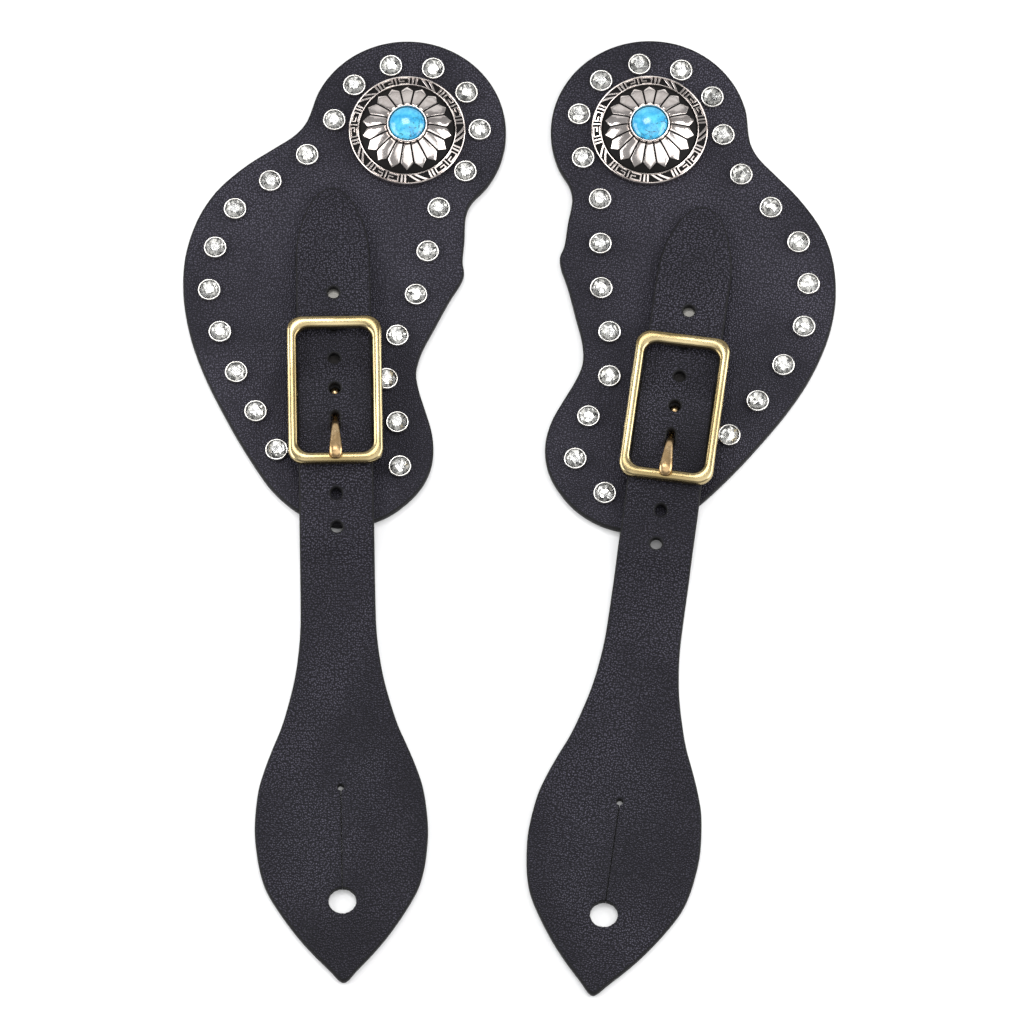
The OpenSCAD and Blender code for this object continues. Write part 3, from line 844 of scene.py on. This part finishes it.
def make_chape(lie):
    """Thin leather folded round the centre bar: the flat shape bent along its middle line."""
    line, bend_start, bend_end = chape_line()
    run = np.concatenate([[0], np.cumsum(np.linalg.norm(np.diff(line, axis=0), axis=1))])
    loops = chape_loops(line, run, bend_start, bend_end)
    verts, faces, mats, far = slab(loops, CHAPE_T, 1.1, 0.16, 0.16, steps=3)
    s = np.clip(verts[:, 1], 0, run[-1])
    tangent = np.gradient(line, run, axis=0)
    tangent /= np.linalg.norm(tangent, axis=1, keepdims=True)
    at = np.column_stack([np.interp(s, run, line[:, k]) for k in (0, 1)])
    t = np.column_stack([np.interp(s, run, tangent[:, k]) for k in (0, 1)])
    out = np.column_stack([-t[:, 1], t[:, 0]])
    p = at + out * (CHAPE_T / 2 - verts[:, 2])[:, None]
    build = Build()
    flat = np.column_stack([verts[:, 0], verts[:, 1], verts[:, 2] + lie.seed * 10 + 7])
    build.add(np.column_stack([verts[:, 0], p]), faces, mats, flat, far)
    return build.object(f"{lie.side}_chape_leather", LEATHER, lie)


# ---- buckle


def rounded_rectangle(hx, hy, r, corner_n, side_n):
    """Points round a rectangle with round corners, the same count whatever its size."""
    points = []
    for cx, cy, a0 in ((1, 1, 0), (-1, 1, 90), (-1, -1, 180), (1, -1, 270)):
        for a in np.linspace(math.radians(a0), math.radians(a0 + 90), corner_n):
            points.append((cx * (hx - r) + r * math.cos(a), cy * (hy - r) + r * math.sin(a)))
    out = []
    for i, p in enumerate(points):
        out.append(p)
        if i % corner_n == corner_n - 1:
            q = points[(i + 1) % len(points)]
            for t in np.arange(1, side_n) / side_n:
                out.append((p[0] + (q[0] - p[0]) * t, p[1] + (q[1] - p[1]) * t))
    return np.array(out)


def add_outer_bars(build, seed):
    """The four outer bars as one closed tube, a little flattened and uneven."""
    outer = rounded_rectangle(FRAME_X + FRAME_R - FRAME_SLIM, FRAME_Y + FRAME_R, 3.9, 12, 22)
    inner = rounded_rectangle(FRAME_X - FRAME_R - 0.15, FRAME_Y - FRAME_R - 0.1, 3.1, 12, 22)
    inner[inner[:, 1] > FRAME_Y / 2, 1] -= TOP_BAR_EXTRA
    rings, flat = [], []
    run = 0.0
    for i, (o, p) in enumerate(zip(outer, inner)):
        ring = []
        wear = 0.035 * ripple(o[0], o[1], seed, 5)
        for a in np.arange(20) * 2 * math.pi / 20:
            s, z = swell(math.cos(a), math.sin(a), 2.9)
            z *= FRAME_R * (0.97 + wear)
            s = 0.5 + 0.5 * s * (1 - abs(wear))
            q = p + (o - p) * s
            ring.append((q[0], q[1], FRAME_Z + z))
            flat.append((run * 0.12, s * 3, z))
        run += float(np.linalg.norm(outer[(i + 1) % len(outer)] - o))
        rings.append(np.array(ring))
    verts, faces = tube(rings, closed=True)
    build.add(verts, faces, 0, flat)


def add_centre_bar(build):
    """The round centre bar, dropped below the frame on a leg at each end."""
    leg, bend = FRAME_X - 0.3, 1.2
    line = [(-leg, FRAME_Z - 0.3), (-leg, BAR_Z + bend)]
    line += [(-leg + bend - bend * math.cos(a), BAR_Z + bend - bend * math.sin(a))
             for a in np.linspace(0, math.pi / 2, 7)[1:]]
    line += [(x, BAR_Z) for x in np.linspace(-leg + bend + 1, 0, 10)]
    line += [(-x, z) for x, z in line[-2::-1]]
    rings, flat = [], []
    for (x, z), (tx, tz) in zip(line, headings(line)):
        ring = []
        for a in np.arange(18) * 2 * math.pi / 18:
            c, s = BAR_R * math.cos(a), BAR_R * math.sin(a)
            ring.append((x - tz * c, s, z + tx * c))
            flat.append((x * 0.12, s, z * 0.12))
        rings.append(np.array(ring)[::-1])
    verts, faces = tube(rings)
    build.add(verts, faces, 0, flat)


def make_frame(lie):
    """The cast brass frame with its dropped centre bar."""
    build = Build()
    add_outer_bars(build, lie.seed)
    add_centre_bar(build)
    return build.object(f"{lie.side}_buckle_brass", [BRASS], lie, sharp=50)


# Along the prong: distance from the centre bar, height, and half its width and thickness
PRONG_LINE = [
    (-1.7, 4.2, 0.72, 0.62), (-4.0, 4.2, 0.76, 0.66), (-6.2, 4.5, 0.82, 0.7),
    (-7.8, 5.6, 0.84, 0.72), (-8.8, 6.9, 0.86, 0.72), (-9.8, 8.2, 0.92, 0.74),
    (-11.2, 8.95, 1.08, 0.76), (-13.0, 9.4, 1.26, 0.78), (-14.8, 9.8, 1.46, 0.82),
    (-16.4, 10.15, 1.64, 0.88), (-17.5, 10.28, 1.7, 0.92), (-18.2, 10.16, 1.64, 0.94),
    (-18.8, 9.9, 1.38, 0.86), (-19.2, 9.65, 0.95, 0.66), (-19.35, 9.5, 0.4, 0.3),
]


def make_prong(lie):
    """The prong, swollen towards its blunt tip, with the ring that hangs on the centre bar."""
    build = Build()
    line = curve_through(PRONG_LINE, 0.42, closed=False)
    rings, flat = [], []
    for (v, z, w, h), (tv, tz) in zip(line, headings(line)):
        ring = []
        for a in np.arange(20) * 2 * math.pi / 20:
            x, n = swell(math.cos(a), math.sin(a), 2.7)
            ring.append((w * x, v + tz * h * n, z - tv * h * n))
            flat.append((w * x, v, n))
        rings.append(np.array(ring)[::-1])
    verts, faces = tube(rings)
    build.add(verts, faces, 0, flat)
    r0, r1, half = BAR_R + 0.05, BAR_R + 0.7, 0.9
    section = [(r0, -half + 0.1), (r0 + 0.1, -half), (r1 - 0.2, -half), (r1, -half + 0.25),
               (r1, half - 0.25), (r1 - 0.2, half), (r0 + 0.1, half), (r0, half - 0.1)]
    verts, faces, _ = lathe([(r, z, 1) for r, z in section], 40)
    verts = np.column_stack([verts[:, 2], verts[:, 0], verts[:, 1] + BAR_Z])
    build.add(verts, faces)
    return build.object(f"{lie.side}_prong_brass", [PRONG_BRASS], lie, sharp=50)


# ---- concho


def dome_z(r, extra=0.0):
    """Height of the dome at a distance from its middle, or of a shell above or below it."""
    return DOME_CENTRE_Z + np.sqrt((DOME_SPHERE_R + extra) ** 2 - np.asarray(r) ** 2)


BAND_IN, BAND_OUT = 12.65, 14.5
BAND_MID = 13.5
FRET_START = -24


def band_z(r):
    """Height of the rim band, which falls a little outwards."""
    return CONCHO_Z + 1.55 - (np.asarray(r) - BAND_IN) * 0.16


def band_point(x, y):
    """A point on the rim band: x along it from the middle of a repeat, y from 0 to 1 across."""
    r = BAND_IN + (BAND_OUT - BAND_IN) * y
    a = x / BAND_MID
    return r * np.sin(a), r * np.cos(a)


def stroke(points, width):
    """Outline of a mitred line of the given width through the points."""
    p = np.array(points, float)
    d = np.diff(p, axis=0)
    d /= np.linalg.norm(d, axis=1, keepdims=True)
    n = np.column_stack([-d[:, 1], d[:, 0]])
    left, right = [], []
    for i in range(len(p)):
        if i == 0 or i == len(p) - 1:
            m, scale = n[min(i, len(n) - 1)], 1.0
        else:
            m = n[i - 1] + n[i]
            m /= np.linalg.norm(m)
            scale = 1 / float(m @ n[i])
        left.append(p[i] + m * scale * width / 2)
        right.append(p[i] - m * scale * width / 2)
    return np.array(left + right[::-1])


def densified(loop, step):
    """The loop with points added so that none lie further than a step apart."""
    out = []
    for a, b in zip(loop, np.roll(loop, -1, 0)):
        k = max(1, math.ceil(float(np.linalg.norm(b - a)) / step))
        out += [a + (b - a) * t for t in np.arange(k) / k]
    return np.array(out)


def fret_shapes():
    """The raised figures of one repeat of the rim band, flat: x along it and y across it, in
    millimetres. Two slanted strokes in the middle, then on each side two bars, a square
    spiral and half of the line that parts the repeats."""
    depth = BAND_OUT - BAND_IN
    shapes = [
        np.array([(-2.5, depth), (-1.55, depth), (1.0, 0), (0.05, 0)]),
        np.array([(-0.55, depth), (0.25, depth), (2.6, 0), (1.75, 0)]),
    ]
    for s in (-1, 1):
        for x in (3.05, 3.95):
            shapes.append(np.array([(s * x, 0), (s * (x + 0.5), 0),
                                    (s * (x + 0.5), depth), (s * x, depth)]))
        hook = [(7.75, 0.16), (5.15, 0.16), (5.15, depth - 0.16), (7.6, depth - 0.16),
                (7.6, 0.86), (6.35, 0.86)]
        shapes.append(stroke([(s * x, y) for x, y in hook], 0.34))
    shapes.append(stroke([(8.48, 0), (8.48, depth)], 0.36))
    return shapes


def shell_section():
    """Section of the pressed shell: the bored boss, the hollow, the rim band and the dome."""
    z = CONCHO_Z
    section = [(0, z + 3.4, 0.3), (2.05, z + 3.4, 0.3), (2.05, z, 0.6), (3.6, z, 0.8)]
    section += [(r, float(dome_z(r, -0.9)), 0.2) for r in np.linspace(3.6, DOME_R - 1, 8)[1:]]
    section += [
        (CONCHO_R - 1.3, z + 0.35, 0.3), (CONCHO_R - 0.9, z, 0.6), (CONCHO_R - 0.12, z, 0.6),
        (CONCHO_R, z + 0.12, 0.5), (CONCHO_R, z + 1.05, 0.55), (CONCHO_R - 0.05, z + 1.3, 0.9),
        (CONCHO_R - 0.13, z + 1.46, 1), (CONCHO_R - 0.26, z + 1.53, 1),
        (CONCHO_R - 0.4, z + 1.47, 1), (BAND_OUT + 0.02, z + 1.33, 0.6),
        (BAND_OUT - 0.05, z + 1.05, 0.0), (BAND_IN + 0.05, z + 1.3, 0.0),
        (BAND_IN + 0.02, z + 1.62, 0.6), (BAND_IN - 0.08, z + 1.86, 1),
        (BAND_IN - 0.2, z + 1.93, 1), (BAND_IN - 0.34, z + 1.86, 1),
        (BAND_IN - 0.44, z + 1.66, 0.6), (BAND_IN - 0.5, z + 1.4, 0.0),
    ]
    section += [(r, float(dome_z(r)), 0.0) for r in np.linspace(DOME_R - 0.05, STONE_R + 0.3, 14)]
    return section + [(0, SEAT_Z + 0.1, 0)]


def add_petals(build):
    """The raised petals all round the dome, polished on top and dark down their sides."""
    outline = np.array([
        (5.15, -0.69), (9.85, -1.51), (10.1, -1.45), (11.5, 0), (10.1, 1.45), (9.85, 1.51),
        (5.15, 0.69),
    ])
    verts, faces, _, _ = slab([densified(outline, 0.45)], 0.6, 0.7, 0.06, 0.02, steps=3)
    r = np.hypot(verts[:, 0], verts[:, 1])
    crowned = 0.025 * (1 - (verts[:, 1] / 1.5) ** 2)
    height = dome_z(r) + (verts[:, 2] - 0.15) + np.where(verts[:, 2] > 0.3, crowned, 0)
    height -= 0.5 * (1 - smooth((r - 5.25) / 0.5))
    mask = np.clip((verts[:, 2] - 0.5) / 0.08, 0, 1) * smooth((r - 5.45) / 0.25)
    petal = np.column_stack([verts[:, :2], height])
    for k in range(PETALS):
        build.add(turned(petal, math.radians(90 + k * 360 / PETALS)), faces, mask=mask)


def add_fret(build):
    """The raised strokes of the rim band, one repeat after the other."""
    for shape in fret_shapes():
        verts, faces, _, _ = slab([densified(shape, 0.5)], 0.42, 9, 0.05, 0.01, steps=2)
        x, y = band_point(verts[:, 0], verts[:, 1] / (BAND_OUT - BAND_IN))
        figure = np.column_stack([x, y, band_z(np.hypot(x, y)) + verts[:, 2] - 0.28])
        mask = np.clip((verts[:, 2] - 0.3) / 0.08, 0, 1)
        for k in range(FRET_REPEATS):
            turn = math.radians(FRET_START - 360 / FRET_REPEATS * k)
            build.add(turned(figure, turn), [f[::-1] for f in faces], mask=mask)


def make_shell(lie):
    """The pressed shell with its raised petals and fret band."""
    build = Build()
    verts, faces, mask = lathe(shell_section(), 144)
    build.add(verts, [f[::-1] for f in faces], mask=mask)
    add_petals(build)
    add_fret(build)
    return build.object(
        f"{lie.side}_concho_silver", [CONCHO_SILVER], sharp=38, place=lie.on_concho
    )


def make_bezel(lie):
    """The rolled ring that holds the stone."""
    r, z = STONE_R + 0.02, SEAT_Z
    section = [(r, z, 0), (r + 0.66, z, 0), (r + 0.63, z + 0.3, 0), (r + 0.6, z + 0.45, 0.9)]
    section += [(r + 0.33 + 0.26 * math.cos(a), z + 0.85 + 0.5 * math.sin(a), 1)
                for a in np.linspace(0, math.pi, 12)]
    verts, faces, mask = lathe(section + [(r, z + 0.8, 0)], 96)
    build = Build()
    build.add(verts, faces, mask=mask)
    return build.object(f"{lie.side}_bezel_silver", [CONCHO_SILVER], sharp=60, place=lie.on_concho)


def make_stone(lie):
    """The turquoise, a round cabochon with a steep side."""
    r, z = STONE_R - 0.02, SEAT_Z
    section = [(0, z, 1), (STONE_R - 0.15, z, 1), (r, z + 0.2, 1)]
    section += [(r * math.cos(a), z + 0.55 + 1.95 * math.sin(a), 1)
                for a in np.linspace(0, math.pi / 2, 18)]
    verts, faces, mask = lathe(section, 72)
    build = Build()
    build.add(verts, faces, 0, verts + [0, 0, lie.seed * 3], mask)
    return build.object(f"{lie.side}_turquoise", [STONE], sharp=50, place=lie.on_concho)


# ---- crystal rivets


# A brilliant's radii and heights at its table, crown and girdle, and the foil's inner radius
TABLE_R, CROWN_R, GIRDLE_R, HEART_R = 1.28, 1.93, 2.44, 1.25
TABLE_Z, CROWN_Z, GIRDLE_Z = 1.18, 0.92, 0.58


def cut_glass(at):
    """The crown of a round brilliant over the 16 angles of its girdle, as (points, faces)."""
    top, mid = ring_at(TABLE_R, TABLE_Z, at[::2]), ring_at(CROWN_R, CROWN_Z, at[1::2])
    rim, low = ring_at(GIRDLE_R, GIRDLE_Z, at), ring_at(GIRDLE_R, GIRDLE_Z - 0.14, at)
    m, g, b, middle = 8, 16, 32, 48
    faces = [list(range(8))]
    for k in range(8):
        here, after, last = g + 2 * k, g + 2 * k + 1, g + (2 * k + 2) % 16
        faces += [[(k + 1) % 8, k, m + k], [k, m + (k - 1) % 8, here, m + k],
                  [m + k, here, after], [m + k, after, last]]
    for k in range(16):
        j = (k + 1) % 16
        faces += [[g + k, b + k, b + j, g + j], [b + k, middle, b + j]]
    return np.vstack([top, mid, rim, low, [[0, 0, GIRDLE_Z - 0.2]]]), faces


def silver_foil(rng, at):
    """The silvered facets close behind the glass, each with its own painted reflection, lighter or
    darker, as (points, faces, mask)."""
    base = GIRDLE_Z - 0.24
    outer, inner = ring_at(GIRDLE_R - 0.04, base, at), ring_at(HEART_R, base - 0.2, at[1::2])
    inner[:, 2] += rng.uniform(-0.16, 0.2, 8)
    points = np.vstack([outer, inner, [[*rng.uniform(-0.3, 0.3, 2), base - 0.12]]])
    facets, mask = [], []
    for k in range(8):
        here, after, last = 2 * k, 2 * k + 1, (2 * k + 2) % 16
        a, b, middle = 16 + k, 16 + (k + 1) % 8, 24
        facets += [[a, here, after], [a, after, last], [a, last, b], [a, b, middle]]
    # Each facet's mask is a painted reflection: dark facets and bright glints set at random in
    # place of reflected light.
    for _ in facets:
        painted_glint = rng.choice([0.16, 0.42, 0.74, 1.0], p=[0.16, 0.24, 0.32, 0.28])
        mask += [float(np.clip(painted_glint + rng.uniform(-0.06, 0.06), 0, 1))] * 3
    faces = np.arange(3 * len(facets)).reshape(-1, 3).tolist()
    return np.vstack([points[f] for f in facets]), faces, mask


def seated(points, at, tilt):
    """Points of a rivet, leaning by the tilt, in its place on top of the tongue."""
    lean = points[:, 2] + points[:, :2] @ tilt
    return np.column_stack([points[:, :2], lean]) + at + [0, 0, TONGUE_TOP]


def make_studs(lie):
    """The crystal rivets of one strap: rolled cups and the stones in them, each leaning a
    little its own way."""
    centres = np.array(parts_of(f"{lie.side}_stud_rims")) / MM
    rng = np.random.default_rng(lie.seed + 40)
    cups, gems = Build(), Build()
    section = [(0, 0.28), (2.3, 0.28), (2.46, 0.36), (2.5, 0.85)]
    section += [(2.69 + 0.19 * math.cos(a), 0.93 + 0.15 * math.sin(a))
                for a in np.linspace(math.pi, 0.2, 7)]
    section += [(2.91, 0.7), (2.94, 0.3), (2.95, -0.12), (0, -0.12)]
    cup, cup_faces, _ = lathe([(r, z, 1) for r, z in section], 40)
    rise = [0, 0, 0.3]
    for x, y, _ in centres:
        at, tilt = [x, y, 0], rng.uniform(-0.03, 0.03, 2)
        cups.add(seated(cup, at, tilt), [f[::-1] for f in cup_faces], 0, cup + at)
        angles = rng.uniform(0, 0.8) + np.arange(16) * math.pi / 8
        glass, faces = cut_glass(angles)
        gems.add(seated(glass + rise, at, tilt), faces, 0, glass + at)
        foil, faces, mask = silver_foil(rng, angles)
        gems.add(seated(foil + rise, at, tilt), faces, 1, foil + at, mask)
    return (cups.object(f"{lie.side}_stud_cups", [CUP_NICKEL], sharp=45, place=in_metres),
            gems.object(f"{lie.side}_crystals", [GLASS, FOIL], smooth=False, place=in_metres))


# ---- assembly

for lie in LIES:
    side, tongue, leaf = lie.side, f"{lie.side}_tongue", f"{lie.side}_leaf"
    leather_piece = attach(make_tongue(lie), tongue)
    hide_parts(f"{side}_tongue_body")

    strap = make_billet(lie)
    ends = lie.place([[0, FLEX_Y + 3.5, BILLET_T / 2], [0, FLEX_Y - 3.5, BILLET_T / 2]])
    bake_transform(strap)
    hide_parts(f"{side}_billet", f"{side}_billet_tail", f"{side}_billet_leaf")

    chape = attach(make_chape(lie), tongue)
    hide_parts(f"{side}_chape")

    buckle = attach(make_frame(lie), f"{side}_buckle")
    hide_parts(f"{side}_buckle_frame")

    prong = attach(make_prong(lie), f"{side}_prong")
    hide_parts(f"{side}_buckle_prong")

    for make, node, slot in (
        (make_shell, "shell", "antique_nickel"),
        (make_bezel, "bezel", "antique_nickel"),
        (make_stone, "stone", "turquoise"),
    ):
        piece = make(lie)
        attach(piece, f"{side}_concho")
        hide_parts(f"{side}_concho_{node}")

    for piece, node, slot in zip(
        make_studs(lie), ("stud_rims", "stud_crystals"), ("stud_nickel", "crystal")
    ):
        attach(piece, tongue)
        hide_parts(f"{side}_{node}")

    # Rivets, caps, screw and rivet backs take the nickel darkened as painted shade.
    for node in ("chape_rivets", "chape_rivet_caps", "concho_screw", "stud_backs"):
        metal_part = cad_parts[f"{side}_{node}"]
        for k in range(len(metal_part.material_slots)):
            metal_part.material_slots[k].material = SHADE_DIMMED_NICKEL

# ---- floor, lights and camera


def add_floor():
    n = Nodes("floor_paper")
    where = n.add("TexCoord").outputs["Object"]
    fleck = n.noise(where, 60, 3.0)
    n.set(Base_Color=n.mix(fleck, (0.86, 0.86, 0.86, 1), (0.88, 0.88, 0.88, 1)),
          Roughness=0.9, Specular_IOR_Level=0.1)
    mesh = bpy.data.meshes.new("ground_sheet")
    size = 4.0
    mesh.from_pydata([(-size, -size, 0), (size, -size, 0), (size, size, 0), (-size, size, 0)],
                     [], [(0, 1, 2, 3)])
    mesh.materials.append(n.material)
    made = placed("ground_sheet", mesh, (0, 0, -0.05 * MM))


def add_light(name, at, target, size, radiance, tint=(1, 1, 1)):
    """A soft box at a point that faces a target, with a brightness for each unit of its area."""
    data = bpy.data.lights.new(name, "AREA")
    data.shape = "RECTANGLE"
    data.size, data.size_y = size
    data.energy = radiance * math.pi * size[0] * size[1]
    data.color = tint
    placed(name, data, at, Vector(target) - Vector(at)).visible_camera = False


def add_world():
    world = bpy.data.worlds.new("studio")
    world.use_nodes = True
    back = world.node_tree.nodes["Background"]
    back.inputs["Color"].default_value = (0.97, 0.98, 1.0, 1)
    back.inputs["Strength"].default_value = 0.38
    bpy.context.scene.world = world


def add_camera():
    """A long lens from above the leaves' end, with a field 261 mm wide across the pair."""
    elevation, field, lens, sensor = math.radians(68), 261.12 * MM, 1300.0, 36.0
    data = bpy.data.cameras.new("view")
    data.lens, data.sensor_width = lens, sensor
    data.clip_start, data.clip_end = 0.5, 50
    back = Vector((0, -math.cos(elevation), math.sin(elevation)))
    at = Vector((0.6 * MM, 1.6 * MM, 0)) + back * (field * lens / sensor)
    bpy.context.scene.camera = placed("view", data, at, -back)


add_floor()
add_world()
add_light("top_box", (0.19, -0.2, 0.95), (0, 0, 0), (1.1, 0.92), 1.5)
add_light("key_box", (-0.1, 0.5, 0.95), (0, 0, 0), (0.34, 0.3), 9.0)
add_light("back_box", (0, 0.95, 0.36), (0, 0, 0.02), (1.5, 0.5), 0.5)
add_light("left_box", (-0.32, 0.03, 0.17), (0, 0, 0), (0.4, 0.22), 4.5)
add_light("right_box", (0.32, 0.03, 0.17), (0, 0, 0), (0.4, 0.22), 4.5)
add_camera()
bpy.context.scene.view_settings.view_transform = "Standard"
